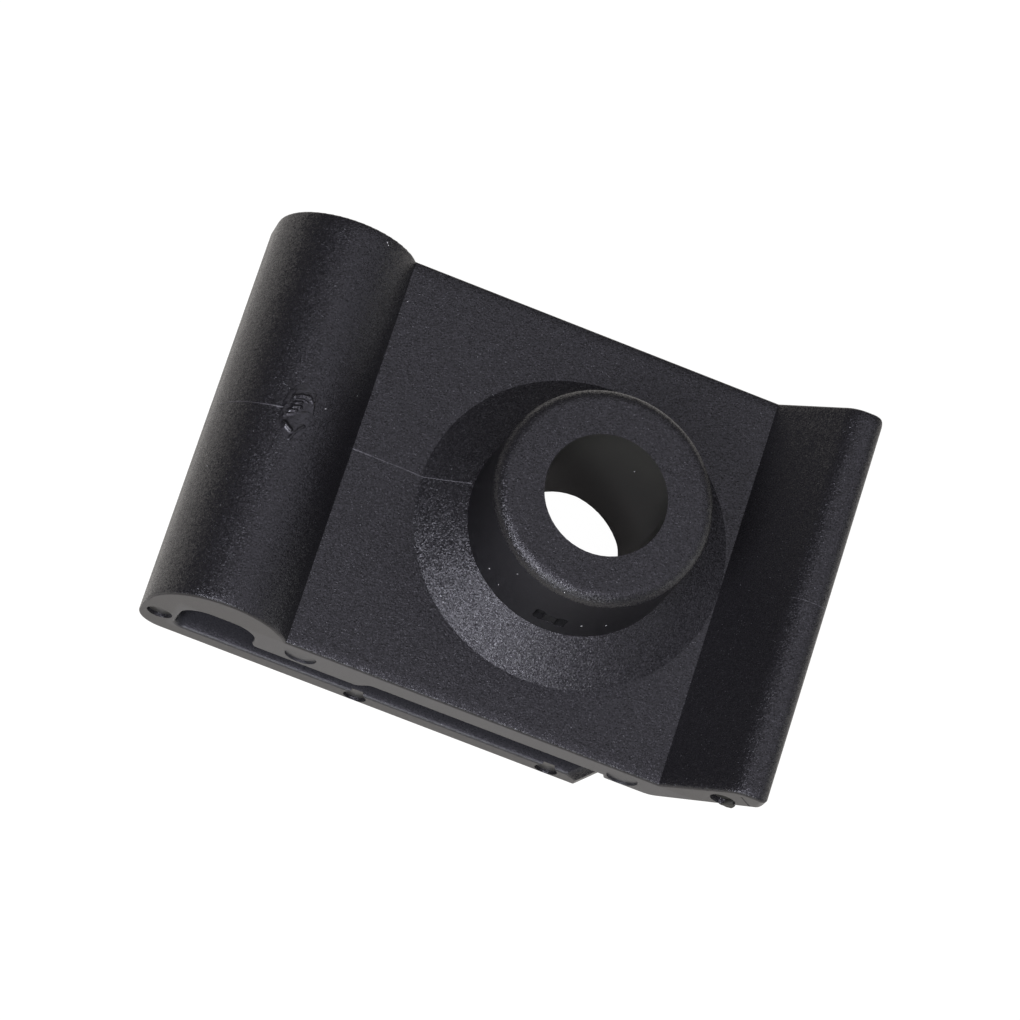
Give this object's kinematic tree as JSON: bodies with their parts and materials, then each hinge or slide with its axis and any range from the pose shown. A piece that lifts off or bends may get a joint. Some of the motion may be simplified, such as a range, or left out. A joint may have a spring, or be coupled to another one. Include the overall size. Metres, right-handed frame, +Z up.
{
  "type": "u clip speed nut",
  "caption": "Moulded black U clip nut: a folded strip with a plain round screw boss, pushed over a panel's edge to take a self-tapping screw.",
  "frame": {"origin": "on the screw axis, in the plane of the lower leg's underside, on which the clip rests", "axes": "+Z up the screw axis out of the boss, +X along the clip from the closed bend to the open lip, Y across the width"},
  "size_m": [0.0268, 0.018, 0.0097],
  "materials": {
    "black_nylon": "fine spark-textured black nylon, smoother on the side faces and in the bore"
  },
  "bodies": {
    "root": {"u_clip_nut": "black_nylon"}
  },
  "joints": []
}
